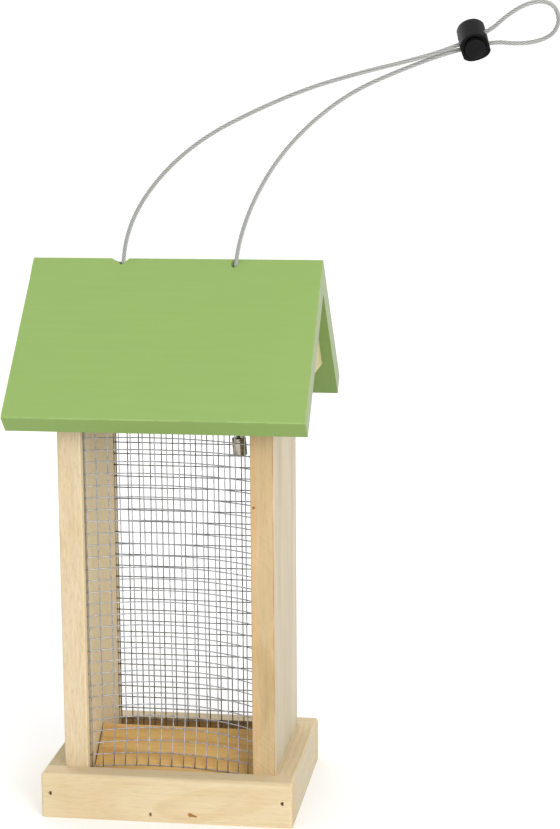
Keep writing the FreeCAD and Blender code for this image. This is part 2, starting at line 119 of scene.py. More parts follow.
class ShaderGraph:
    """A material under construction, with short calls for the nodes that the finishes share."""

    def __init__(self, name: str) -> None:
        """Start a material with its surface shader.

        Args:
            name: Name of the material.
        """
        self.material = bpy.data.materials.new(name)
        self.material.use_nodes = True
        self.tree = self.material.node_tree
        self.surface = self.tree.nodes["Principled BSDF"]

    def feed(self, socket: Socket, value: object) -> None:
        """Link a socket to another one, or set its own value.

        Args:
            socket: Socket to feed.
            value: Another socket, a number, a vector or a colour.
        """
        if isinstance(value, bpy.types.NodeSocket):
            self.tree.links.new(value, socket)
        else:
            socket.default_value = (*value, 1.0) if socket.type == "RGBA" else value

    def node(self, kind: str, inputs: dict, output: Union[int, str] = 0, **settings: object) -> Socket:
        """Add a node and feed it.

        Args:
            kind: Blender's name of the node type.
            inputs: What is fed into it, by name or number of the input.
            output: Name or number of the output that is asked for.
            **settings: Properties of the node.

        Returns:
            That output.
        """
        made = self.tree.nodes.new(kind)
        for key, value in settings.items():
            setattr(made, key, value)
        for key, value in inputs.items():
            self.feed(made.inputs[key], value)
        return made.outputs[output]

    def place(self) -> Socket:
        """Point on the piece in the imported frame."""
        return self.node("ShaderNodeTexCoord", {}, "Object")

    def math(self, operation: str, a: Value, b: Value = 0.0, c: Value = 0.0) -> Socket:
        """Work out one number from up to three."""
        return self.node("ShaderNodeMath", {0: a, 1: b, 2: c}, operation=operation)

    def times(self, a: Value, b: Value) -> Socket:
        """Product of two numbers."""
        return self.math("MULTIPLY", a, b)

    def minus(self, a: Value, b: Value) -> Socket:
        """Difference of two numbers."""
        return self.math("SUBTRACT", a, b)

    def line(self, value: Value, slope: Value, start: Value) -> Socket:
        """Number that rises from a start with another number."""
        return self.math("MULTIPLY_ADD", value, slope, start)

    def step(self, value: Value, low: float, high: float) -> Socket:
        """Rise smoothly from 0 to 1 as a number goes from one limit to the other."""
        inputs = {"Value": value, "From Min": low, "From Max": high}
        return self.node("ShaderNodeMapRange", inputs, "Result", interpolation_type="SMOOTHSTEP")

    def fade(self, value: Value, low: float, high: float) -> Socket:
        """Fall smoothly from 1 to 0 as a number goes from one limit to the other."""
        return self.minus(1.0, self.step(value, low, high))

    def split(self, vector: Socket) -> list[Socket]:
        """Coordinates of a point."""
        return list(self.node("ShaderNodeSeparateXYZ", {0: vector}).node.outputs)

    def join(self, x: Value, y: Value, z: Value) -> Socket:
        """Point from its coordinates."""
        return self.node("ShaderNodeCombineXYZ", {0: x, 1: y, 2: z})

    def vectors(self, operation: str, a: Socket, b: Place = (0, 0, 0), output: str = "Vector") -> Socket:
        """Work out a vector or a number from two vectors."""
        return self.node("ShaderNodeVectorMath", {0: a, 1: b}, output, operation=operation)

    def dot(self, vector: Socket, direction: Place) -> Socket:
        """Share of a vector along a direction."""
        return self.vectors("DOT_PRODUCT", vector, direction, "Value")

    def facing(self, direction: Place, low: float = 0.3, high: float = 0.9, both: bool = False) -> Socket:
        """Rise from 0 to 1 as the surface turns towards a direction, or away from it as well."""
        share = self.dot(self.node("ShaderNodeTexCoord", {}, "Normal"), direction)
        return self.step(self.math("ABSOLUTE", share) if both else share, low, high)

    def noise(self, vector: Socket, scale: float, detail: float = 2.0, roughness: float = 0.5) -> Socket:
        """Smooth noise about one half, with so many waves per metre and octaves."""
        inputs = {"Vector": vector, "Scale": scale, "Detail": detail, "Roughness": roughness}
        return self.node("ShaderNodeTexNoise", inputs, "Fac")

    def ramp(self, factor: Value, stops: Sequence[tuple[float, float]]) -> Socket:
        """Number that follows a line through stops.

        Args:
            factor: Place on the line.
            stops: Place and level of each stop.

        Returns:
            Level at the place.
        """
        level_out = self.node("ShaderNodeValToRGB", {0: factor}, "Color")
        elements = level_out.node.color_ramp.elements
        while len(elements) < len(stops):
            elements.new(1.0)
        for element, (place, level) in zip(elements, stops):
            element.position = place
            element.color = (level, level, level, 1.0)
        return level_out

    def mix(self, factor: Value, a: object, b: object, blend: str = "MIX") -> Socket:
        """Mix two colours by the share of the second one."""
        return self.node("ShaderNodeMix", {0: factor, 6: a, 7: b}, 2, data_type="RGBA", blend_type=blend)

    def tint(self, colour: object, tint: object, share: Value = 1.0) -> Socket:
        """Multiply a colour by another colour or a number, by a share."""
        return self.mix(share, colour, tint, "MULTIPLY")

    def bump(self, height: Socket, distance: float, strength: float) -> None:
        """Raise the surface by a height of 0 to 1, where 1 is a distance in metres."""
        inputs = {"Height": height, "Distance": distance, "Strength": strength}
        self.set(Normal=self.node("ShaderNodeBump", inputs, "Normal"))

    def set(self, **values: object) -> None:
        """Set or link the surface shader's sockets, with underscores for spaces."""
        for key, value in values.items():
            self.feed(self.surface.inputs[key.replace("_", " ")], value)


class BoardGraph(ShaderGraph):
    """Material of a board, which knows the way of its grain."""

    def __init__(self, name: str, grain: Grain) -> None:
        """Start a board's material.

        Args:
            name: Name of the material.
            grain: Direction of the grain.
        """
        super().__init__(name)
        self.point = self.place()
        axes = self.split(self.point)
        self.along, self.across, self.deep = (axes[k] for k in grain.value)

    def fibres(self, long: float, wide: float, detail: float = 2.0, roughness: float = 0.5) -> Socket:
        """Noise drawn out along the grain, in waves per metre along and across it."""
        board = self.join(self.along, self.across, self.deep)
        return self.noise(self.vectors("MULTIPLY", board, (long, wide, wide)), 1.0, detail, roughness)


class Finish(Protocol):
    """Recipe for a material."""

    def material(self) -> bpy.types.Material:
        """Build the material."""


@cache
def material_of(finish: Finish) -> bpy.types.Material:
    """Material of a finish, which is built only once."""
    return finish.material()


@dataclass(frozen=True)
class Knot:
    """Small knot or stain in a board.

    Attributes:
        stretch: Its length over its width.
        slant: Fall of its long way towards the right, in degrees.
    """

    centre: Place
    radius: float
    stretch: float
    slant: float
    colour: Colour

    def mask(self, graph: BoardGraph) -> Socket:
        """Nearness to the knot.

        Args:
            graph: The board's material.

        Returns:
            1 in the knot's heart, 0 beyond twice its radius.
        """
        fall = math.radians(self.slant)
        offset = graph.vectors("SUBTRACT", graph.point, self.centre)
        long = graph.math("DIVIDE", graph.dot(offset, (math.cos(fall), 0.0, -math.sin(fall))), self.stretch)
        short = graph.dot(offset, (math.sin(fall), 0.0, math.cos(fall)))
        around = graph.join(long, short, graph.dot(offset, (0.0, 1.0, 0.0)))
        return graph.fade(graph.vectors("LENGTH", around, output="Value"), 0.0, 2 * self.radius)


@dataclass(frozen=True)
class Streak:
    """Resin streak along a board's grain.

    Attributes:
        place: Its middle across the grain.
    """

    place: float
    half_width: float
    strength: float
    colour: Colour


@dataclass(frozen=True)
class FaceTint:
    """Tint of the faces of a board that look one way: painted shade or painted light on most boards, the
    colour of a sawn edge on one.

    Attributes:
        tint: Colour that the board's own is multiplied by.
    """

    side: Side
    tint: Colour


@dataclass(frozen=True)
class PineFinish:
    """Bare planed pine with growth rings in depth, fine fibres, flecks and knots.

    Attributes:
        pale: Colour of the spring wood.
        tan: Colour of the summer wood.
        pith: Where the tree's middle lies, across and deep.
        blotch_width: Width of such a band.
        saw_angle: Slant of saw marks on the front edge, in degrees, where it has them.
        ring_drift: How far the rings wander to each side.
        ring_levels: Share of summer wood through the year.
        knot_bulge: How far a knot pushes the rings aside.
        fibre_count: Fibres per metre across the board.
        relief: Height of the fibres.
    """

    name: str
    grain: Grain
    pale: Colour = from_screen(206, 188, 153)
    tan: Colour = from_screen(188, 162, 116)
    pith: tuple[float, float] = (0.0, 0.0)
    ring_strength: float = 0.36
    fibre_strength: float = 0.24
    fibre_length: float = 45.0 * MM
    blotch_strength: float = 0.14
    blotch_width: float = 26.0 * MM
    fleck_strength: float = 0.12
    fleck_length: float = 6.0 * MM
    saw_angle: Optional[float] = None
    tints: tuple[FaceTint, ...] = ()
    streaks: tuple[Streak, ...] = ()
    knots: tuple[Knot, ...] = ()
    fleck: Colour = from_screen(146, 108, 66)
    end_grain: Colour = from_screen(172, 142, 100)
    ring_pitch: float = 2.6 * MM
    ring_drift: float = 7.0 * MM
    ring_levels: tuple[tuple[float, float], ...] = (
        (0.0, 0.0), (0.5, 0.2), (0.8, 1.0), (0.9, 0.75), (1.0, 0.0),
    )
    knot_bulge: float = 2.0 * MM
    fibre_count: float = 900.0
    fleck_count: float = 1300.0
    saw_count: float = 900.0
    relief: float = 0.09 * MM

    def material(self) -> bpy.types.Material:
        """Build the material.

        Returns:
            The finished material.
        """
        graph = BoardGraph(self.name, self.grain)
        masks = [knot.mask(graph) for knot in self.knots]
        rings = self._rings(graph, masks)
        fibre = graph.fibres(1 / self.fibre_length, self.fibre_count, 4.0, 0.62)
        colour = graph.mix(graph.times(rings, self.ring_strength), self.pale, self.tan)
        colour = self._streaked(graph, colour)
        colour = self._shaded(graph, colour, fibre)
        if self.saw_angle is not None:
            mark = self._saw_marks(graph, math.radians(self.saw_angle))
            colour = graph.tint(colour, mark, graph.facing(Side.FRONT.value))
        # Face tints: painted shade or painted light on most boards, the colour of a sawn edge on one.
        for face in self.tints:
            colour = graph.tint(colour, face.tint, graph.facing(face.side.value))
        for knot, mask in zip(self.knots, masks):
            colour = graph.mix(graph.step(mask, 0.3, 0.75), colour, knot.colour)
        graph.set(Base_Color=colour, Roughness=graph.line(fibre, 0.2, 0.58), Specular_IOR_Level=0.25)
        graph.bump(graph.line(rings, -0.35, graph.times(fibre, 0.65)), self.relief, 0.8)
        return graph.material

    def _rings(self, graph: BoardGraph, masks: Sequence[Socket]) -> Socket:
        """Growth rings: cylinders round the pith, drifting along the grain and round the knots.

        Args:
            graph: The board's material.
            masks: Nearness to each knot.

        Returns:
            0 in spring wood, 1 in summer wood.
        """
        drift = graph.line(graph.fibres(7.0, 16.0), 2 * self.ring_drift, -self.ring_drift)
        places = zip((graph.across, graph.deep), self.pith)
        side, up = (graph.math("ADD", graph.minus(place, middle), drift) for place, middle in places)
        radius = graph.math("SQRT", graph.line(side, side, graph.times(up, up)))
        for mask in masks:
            radius = graph.line(mask, self.knot_bulge, radius)
        year = graph.math("FRACT", graph.math("DIVIDE", radius, self.ring_pitch))
        return graph.ramp(year, self.ring_levels)

    def _streaked(self, graph: BoardGraph, colour: Socket) -> Socket:
        """Lay the resin streaks along the grain, broken by noise.

        Args:
            graph: The board's material.
            colour: Colour of the board.

        Returns:
            Colour of the board and its streaks.
        """
        for streak in self.streaks:
            off = graph.math("ABSOLUTE", graph.minus(graph.across, streak.place))
            broken = graph.step(graph.fibres(45.0, 420.0, 3.0), 0.3, 0.66)
            near = graph.times(graph.fade(off, 0.0, streak.half_width), broken)
            colour = graph.mix(graph.times(near, streak.strength), colour, streak.colour)
        return colour

    def _shaded(self, graph: BoardGraph, colour: Socket, fibre: Socket) -> Socket:
        """Vary the colour by fibres, blotches, flecks and the darker end grain.

        Args:
            graph: The board's material.
            colour: Colour of the board.
            fibre: Noise along the fibres.

        Returns:
            The varied colour.
        """
        colour = graph.tint(colour, graph.line(fibre, self.fibre_strength, 1 - self.fibre_strength / 2))
        blotch = graph.fibres(9.0, 1 / self.blotch_width)
        tone = graph.line(blotch, self.blotch_strength, 1 - self.blotch_strength / 2)
        colour = graph.tint(colour, graph.join(tone, tone, graph.math("POWER", tone, 1.5)))
        dashes = graph.step(graph.fibres(1 / self.fleck_length, self.fleck_count, 1.5), 0.45, 0.72)
        colour = graph.mix(graph.times(dashes, self.fleck_strength), colour, self.fleck)
        cut = graph.facing(self.grain.direction(), 0.8, 0.95, both=True)
        return graph.mix(graph.times(cut, 0.35), colour, self.end_grain)

    def _saw_marks(self, graph: BoardGraph, slant: float) -> Socket:
        """Slanted marks of the saw, in patches.

        Args:
            graph: The board's material.
            slant: Slant of the marks.

        Returns:
            Tone that the colour is multiplied by.
        """
        height = graph.times(graph.dot(graph.point, (math.sin(slant), 0.0, math.cos(slant))), self.saw_count)
        wave = graph.step(graph.noise(graph.join(height, 0.0, 0.0), 1.0), 0.35, 0.65)
        patch = graph.step(graph.noise(graph.point, 24.0, 1.0), 0.34, 0.66)
        return graph.line(wave, graph.line(patch, 0.06, 0.02), 0.97)


@dataclass(frozen=True)
class GreenPaint:
    """Matt green paint on a roof board, thin on its ends and edges, with painted shade on the inner face and
    eave edge and a painted highlight along the edges.

    Attributes:
        side: -1 for the front board, 1 for the back one.
        slope_length: Length of the outer face down the slope.
        end_grain: Colour of the board's ends, where the wood drinks the paint.
        inner_painted_shade: Painted shade on the inner face, a darker tint.
        eave_painted_shade: Painted shade on the sawn edge at the eave, which faces down.
        brush: Waves per metre of the brush marks, along, down and through the board.
        wear: Distances from an edge where the lighter edge, part wear and part painted highlight, is full and
            where it ends.
    """

    name: str
    side: int
    ridge: float
    slope_length: float
    half_length: float
    colour: Colour = from_screen(132, 159, 88)
    # Lighter colour along the outer face's edges: part wear, part painted highlight.
    wear_and_highlight: Colour = from_screen(148, 174, 106)
    end_grain: Colour = from_screen(148, 160, 124)
    end_grit: Colour = from_screen(140, 152, 120)
    inner_painted_shade: Colour = (0.72, 0.74, 0.7)
    eave_painted_shade: Colour = (0.85, 0.86, 0.84)
    brush: Place = (16.0, 420.0, 420.0)
    wear: tuple[float, float] = (0.15 * MM, 0.75 * MM)
    relief: float = 0.05 * MM

    def material(self) -> bpy.types.Material:
        """Build the material.

        Returns:
            The finished material.
        """
        graph = ShaderGraph(self.name)
        place = graph.place()
        half_root = math.sqrt(0.5)
        down = (0.0, self.side * half_root, -half_root)
        inward = (0.0, -self.side * half_root, -half_root)
        ways = (graph.dot(place, down), graph.dot(place, inward))
        slope, depth = (graph.math("ADD", way, self.ridge * half_root) for way in ways)
        board = (graph.split(place)[0], slope, depth)
        fibre = graph.noise(graph.vectors("MULTIPLY", graph.join(*board), self.brush), 1.0, 4.0, 0.6)
        cloud = graph.noise(place, 26.0, 3.0)
        grit = graph.noise(place, 1600.0)
        colour = graph.tint(self.colour, graph.line(cloud, 0.06, graph.line(fibre, 0.08, 0.93)))
        # Painted shade: the inner face and the eave edge are darkened by their tints.
        for way, tint in ((inward, self.inner_painted_shade), (down, self.eave_painted_shade)):
            colour = graph.tint(colour, tint, graph.facing(way, 0.5))
        ends = graph.facing(Side.RIGHT.value, 0.6, 0.95, both=True)
        colour = graph.mix(ends, colour, graph.mix(graph.times(grit, 0.5), self.end_grain, self.end_grit))
        # Edges lighter by wear and by a painted highlight, broken by noise.
        broken = graph.step(graph.noise(place, 210.0, 3.0), 0.36, 0.62)
        wear_and_highlight = graph.times(graph.times(self._near_edge(graph, board), broken), 0.7)
        graph.set(Base_Color=graph.mix(wear_and_highlight, colour, self.wear_and_highlight), Specular_IOR_Level=0.3)
        graph.set(Roughness=graph.line(grit, 0.16, 0.5))
        graph.bump(graph.line(grit, 0.35, graph.times(fibre, 0.65)), self.relief, 0.7)
        return graph.material

    def _near_edge(self, graph: ShaderGraph, board: Sequence[Socket]) -> Socket:
        """Nearness to the outer face's edges.

        Args:
            graph: The material.
            board: Place along the roof and down the slope, and depth below the outer face.

        Returns:
            1 at the edges, 0 beyond a hair from them.
        """
        along, slope, depth = board
        to_end = graph.minus(self.half_length, graph.math("ABSOLUTE", along))
        nearest = graph.math("MINIMUM", to_end, graph.minus(self.slope_length, slope))
        return graph.fade(graph.math("MAXIMUM", nearest, depth), *self.wear)


@dataclass(frozen=True)
class WireFinish:
    """Drawn or cast metal with a mottled tone.

    Attributes:
        roughness: Roughness of the smoothest spots.
        mottle: Spots per metre.
    """

    name: str
    dark: Colour
    light: Colour
    metallic: float = 1.0
    roughness: float = 0.32
    mottle: float = 420.0

    def material(self) -> bpy.types.Material:
        """Build the material.

        Returns:
            The finished material.
        """
        graph = ShaderGraph(self.name)
        place = graph.place()
        spangle = graph.noise(place, self.mottle, 3.0, 0.6)
        graph.set(Base_Color=graph.mix(graph.step(spangle, 0.3, 0.7), self.dark, self.light))
        graph.set(Roughness=graph.line(spangle, 0.22, self.roughness), Metallic=self.metallic)
        graph.bump(graph.noise(place, 6 * self.mottle), 0.02 * MM, 0.6)
        return graph.material


@dataclass(frozen=True)
class StrandFinish:
    """Dull steel strands under a thin clear coat, with painted shade in the grooves between them.

    Attributes:
        layer: Layer of the mesh that holds the share of the cable's radius.
    """

    name: str
    # Painted shade in the grooves between the strands.
    groove_painted_shade: Colour = from_screen(80, 81, 79)
    crown: Colour = from_screen(165, 166, 162)
    layer: str = "reach"

    def material(self) -> bpy.types.Material:
        """Build the material.

        Returns:
            The finished material.
        """
        graph = ShaderGraph(self.name)
        reach = graph.node("ShaderNodeAttribute", {}, "Fac", attribute_name=self.layer)
        wear = graph.noise(graph.place(), 700.0, 3.0)
        height = graph.line(wear, 0.16, graph.minus(reach, 0.08))
        # Painted shade: darker towards the core, between the strands.
        graph.set(Base_Color=graph.mix(graph.step(height, 0.66, 0.99), self.groove_painted_shade, self.crown))
        graph.set(Roughness=graph.line(wear, 0.2, 0.24), Metallic=0.1, Coat_Weight=0.15, Coat_Roughness=0.1)
        graph.bump(wear, 0.02 * MM, 0.5)
        return graph.material


@dataclass(frozen=True)
class SatinPlastic:
    """Moulded black plastic with a fine spark-eroded texture.

    Attributes:
        rub: Colour where handling has rubbed it.
    """

    name: str
    colour: Colour = from_screen(13, 13, 14)
    rub: Colour = from_screen(23, 23, 24)

    def material(self) -> bpy.types.Material:
        """Build the material.

        Returns:
            The finished material.
        """
        graph = ShaderGraph(self.name)
        place = graph.place()
        cloud = graph.noise(place, 180.0, 3.0)
        graph.set(Base_Color=graph.mix(graph.step(cloud, 0.35, 0.75), self.colour, self.rub))
        graph.set(Roughness=graph.line(cloud, 0.2, 0.4), Specular_IOR_Level=0.08)
        graph.bump(graph.noise(place, 5200.0), 0.012 * MM, 0.6)
        return graph.material


@dataclass(frozen=True)
class FloorFinish:
    """Matt white floor with faint clouds."""

    name: str = "studio_floor"
    dark: Colour = (0.95, 0.95, 0.95)
    light: Colour = (0.96, 0.96, 0.96)

    def material(self) -> bpy.types.Material:
        """Build the material.

        Returns:
            The finished material.
        """
        graph = ShaderGraph(self.name)
        colour = graph.mix(graph.noise(graph.place(), 3.0), self.dark, self.light)
        graph.set(Base_Color=colour, Roughness=0.9, Specular_IOR_Level=0.0)
        return graph.material


FASTENER_STEEL = WireFinish("fastener_steel", from_screen(52, 42, 32), from_screen(104, 90, 74), 0.7, 0.5)
RUSTY_STEEL = WireFinish("rusty_steel", from_screen(122, 88, 54), from_screen(156, 120, 82), 0.2, 0.6)


def dress(finish: Finish, *names: str) -> None:
    """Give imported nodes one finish.

    Args:
        finish: The finish.
        *names: Names of the nodes.
    """
    material = material_of(finish)
    for name in names:
        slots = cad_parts[name].data.materials
        slots.clear()
        slots.append(material)
        LOG.info("dressed %s in %s", name, material.name)


def link_mesh(name: str, mesh: Mesh) -> bpy.types.Object:
    """Put a mesh into the scene.

    Args:
        name: Name of the object.
        mesh: Its mesh, which is freed.

    Returns:
        The new object.
    """
    data = bpy.data.meshes.new(name)
    mesh.to_mesh(data)
    mesh.free()
    made = bpy.data.objects.new(name, data)
    bpy.context.scene.collection.objects.link(made)
    return made


def new_piece(name: str, mesh: Mesh, finish: Finish) -> bpy.types.Object:
    """Make a smooth-shaded piece.

    Args:
        name: Name of the piece.
        mesh: Its mesh, which is freed.
        finish: Its finish.

    Returns:
        The new piece.
    """
    piece = link_mesh(name, mesh)
    piece.data.shade_smooth()
    piece.data.materials.append(material_of(finish))
    return piece


def stand_in(piece: bpy.types.Object, node: str, body: Optional[Body] = None) -> None:
    """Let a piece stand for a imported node.

    Args:
        piece: The piece.
        node: Name of the node that it replaces.
        body: Body that it rides on, where it isn't blended between two.
    """
    if body is not None:
        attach(piece, body.value)
    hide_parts(node)
    LOG.info("built %s in place of %s", piece.name, node)


def frames_along(path: Sequence[Vector]) -> list[tuple[Vector, Vector, Vector]]:
    """Carry a pair of square directions along a line without twisting them.

    Args:
        path: Points of the line.

    Returns:
        Each point with its two directions across the line.
    """
    last = len(path) - 1
    tangents = [(path[min(k + 1, last)] - path[max(k - 1, 0)]).normalized() for k in range(last + 1)]
    side = tangents[0].orthogonal().normalized()
    frames = []
    for point, tangent in zip(path, tangents):
        side = (side - tangent * side.dot(tangent)).normalized()
        frames.append((point, side, tangent.cross(side)))
    return frames


def add_tube(mesh: Mesh, path: Sequence[Vector], radius: float) -> list[list[bmesh.types.BMVert]]:
    """Add a round wire with closed ends along a line.

    Args:
        mesh: Mesh to add to.
        path: Points of the line.
        radius: Radius of the wire.

    Returns:
        The wire's rings of corners, one for each point.
    """
    rings = []
    for point, side, lift in frames_along(path):
        angles = [2 * math.pi * k / WIRE_SIDES for k in range(WIRE_SIDES)]
        offsets = [side * math.cos(angle) + lift * math.sin(angle) for angle in angles]
        rings.append([mesh.verts.new(point + offset * radius) for offset in offsets])
    for near, far in zip(rings, rings[1:]):
        for k in range(WIRE_SIDES):
            after = (k + 1) % WIRE_SIDES
            mesh.faces.new((near[k], near[after], far[after], far[k]))
    mesh.faces.new(rings[0][::-1])
    mesh.faces.new(rings[-1])
    return rings


def turned(profile: Sequence[tuple[float, float]], square: float = 2.0, flat: float = math.inf) -> Mesh:
    """Turn a profile round the Z axis into a closed solid.

    Args:
        profile: Radius and height of each point, from the axis at one end to the axis at the other.
        square: 2 for a round section, more for one that fills its corners.
        flat: Place along X of two flats on its sides.

    Returns:
        The solid.
    """
    mesh = bmesh.new()
    rings = []
    for radius, height in profile:
        corners = TURNED_SIDES if radius else 1
        ring = []
        for k in range(corners):
            x, y = math.cos(2 * math.pi * k / corners), math.sin(2 * math.pi * k / corners)
            reach = radius / (abs(x) ** square + abs(y) ** square) ** (1 / square)
            ring.append(mesh.verts.new((max(-flat, min(flat, reach * x)), reach * y, height)))
        rings.append(ring)
    for near, far in zip(rings, rings[1:]):
        for k in range(TURNED_SIDES):
            ways = ((near, k), (near, k + 1), (far, k + 1), (far, k))
            mesh.faces.new(list(dict.fromkeys(ring[corner % len(ring)] for ring, corner in ways)))
    bmesh.ops.recalc_face_normals(mesh, faces=mesh.faces)
    return mesh


def plug(radius: float, low: float, high: float) -> Mesh:
    """Plain cylinder on the Z axis."""
    return turned([(0.0, low), (radius, low), (radius, high), (0.0, high)])


def carve(piece: bpy.types.Object, cutters: Iterable[Mesh]) -> None:
    """Cut closed shapes out of a piece, and shade it smooth between the cuts' edges.

    Args:
        piece: Piece to cut.
        cutters: Shapes to take away, which are freed.
    """
    tools = [link_mesh("cutter", cutter) for cutter in cutters]
    for tool in tools:
        cut = piece.modifiers.new("cut", "BOOLEAN")
        cut.operation = "DIFFERENCE"
        cut.solver = "EXACT"
        cut.object = tool
    shape = bpy.data.meshes.new_from_object(piece.evaluated_get(bpy.context.evaluated_depsgraph_get()))
    piece.modifiers.clear()
    piece.data = shape
    mesh = bmesh.new()
    mesh.from_mesh(shape)
    bmesh.ops.remove_doubles(mesh, verts=mesh.verts, dist=WELD)
    bmesh.ops.dissolve_degenerate(mesh, dist=WELD, edges=mesh.edges)
    mesh.to_mesh(shape)
    mesh.free()
    shape.shade_smooth()
    shape.set_sharp_from_angle(angle=SHARP_EDGE)
    for tool in tools:
        bpy.data.objects.remove(tool)


def front_mark(x: float, z: float, radius: float, stretch: float, slant: float, colour: Colour) -> Knot:
    """Knot or stain on the front rail's outer face, in mm."""
    return Knot((x * MM, FRONT_RAIL_FACE, z * MM), radius * MM, stretch, slant, colour)


@dataclass
class Tray:
    """Pine tray: four rails, and a floor with its wedge.

    Attributes:
        front_marks: Slanted knot of the front rail with its tail, and the stains round the brads.
        back_inner_painted_shade: Painted shade on the back rail's inner side, a darker, warmer tint.
        left_top_painted_shade: Painted shade on the left rail's top.
        right_side_painted_shade: Painted shade on the right rail's outer side, darker and greyer.
    """

    front_marks: tuple[Knot, ...] = (
        front_mark(12.7, 4.7, 1.15, 1.25, 12.0, from_screen(158, 106, 50)),
        front_mark(14.3, 4.3, 0.7, 3.0, 13.0, from_screen(146, 104, 54)),
        front_mark(-60.3, 13.2, 0.85, 0.8, 60.0, from_screen(136, 100, 62)),
        front_mark(59.7, 13.2, 0.85, 0.8, 60.0, from_screen(136, 100, 62)),
        front_mark(-8.2, 4.2, 0.6, 0.8, 60.0, from_screen(136, 100, 62)),
    )
    back_inner_painted_shade: Colour = (0.62, 0.5, 0.36)
    left_top_painted_shade: Colour = (0.74, 0.76, 0.72)
    right_side_painted_shade: Colour = (0.86, 0.92, 1.05)
    wedge_pale: Colour = from_screen(212, 174, 110)
    wedge_tan: Colour = from_screen(192, 144, 80)

    def build(self) -> None:
        """Dress the tray's nodes."""
        # Painted shade on the back rail's inner side.
        back = FaceTint(Side.FRONT, self.back_inner_painted_shade)
        # Painted shade on the left rail's top.
        left = FaceTint(Side.TOP, self.left_top_painted_shade)
        # Painted shade on the right rail's outer side.
        right = FaceTint(Side.RIGHT, self.right_side_painted_shade)
        along, aside = Grain.ALONG_X, Grain.ALONG_Y
        front_pine = PineFinish("front_rail_pine", along, pith=(0.06, 0.01), knots=self.front_marks)
        dress(front_pine, "tray_front_rail")
        dress(PineFinish("back_rail_pine", along, pith=(-0.06, 0.016), tints=(back,)), "tray_back_rail")
        dress(PineFinish("left_rail_pine", aside, pith=(-0.03, 0.05), tints=(left,)), "tray_left_rail")
        dress(PineFinish("right_rail_pine", aside, pith=(0.11, 0.06), tints=(right,)), "tray_right_rail")
        dress(PineFinish("floor_pine", along, pith=(0.01, -0.05)), "floor_board")
        wedge_pine = PineFinish(
            "wedge_pine",
            along,
            self.wedge_pale,
            self.wedge_tan,
            pith=(0.02, -0.09),
            ring_strength=0.55,
            fibre_strength=0.4,
            blotch_strength=0.26,
        )
        dress(wedge_pine, "floor_wedge")


@dataclass
class SidePanels:
    """The two upright pine boards.

    Attributes:
        front_edge: Tint of the right board's sawn front edge.
        inner_side_painted_light: Painted light on the left board's inner side, a brightening tint.
        arris: Darker line along the front edge's outer corner.
    """

    front_edge: Colour = (0.955, 0.8, 0.59)
    inner_side_painted_light: Colour = (1.36, 1.38, 1.35)
    speck: Knot = Knot((44.8 * MM, -40.5 * MM, 162.9 * MM), 0.6 * MM, 1.3, 10.0, from_screen(112, 80, 44))
    streak: Streak = Streak(44.9 * MM, 1.7 * MM, 0.34, from_screen(206, 150, 84))
    arris: Streak = Streak(54.4 * MM, 0.5 * MM, 0.7, from_screen(150, 106, 58))

    def build(self) -> None:
        """Dress the panels' nodes."""
        left = PineFinish(
            "left_panel_pine",
            Grain.ALONG_Z,
            from_screen(199, 182, 150),
            from_screen(184, 160, 116),
            pith=(-0.05, -0.09),
            ring_strength=0.24,
            fibre_strength=0.36,
            fibre_length=14.0 * MM,
            fleck_strength=0.2,
            fleck_length=4.0 * MM,
            # Painted light: the left board's inner side is brightened.
            tints=(FaceTint(Side.RIGHT, self.inner_side_painted_light),),
        )
        dress(left, "left_panel")
        right = PineFinish(
            "right_panel_pine",
            Grain.ALONG_Z,
            from_screen(187, 177, 154),
            from_screen(170, 153, 118),
            pith=(0.05, 0.06),
            blotch_strength=0.5,
            blotch_width=13.0 * MM,
            saw_angle=38.0,
            tints=(FaceTint(Side.FRONT, self.front_edge),),
            streaks=(self.streak, self.arris),
            knots=(self.speck,),
        )
        dress(right, "right_panel")


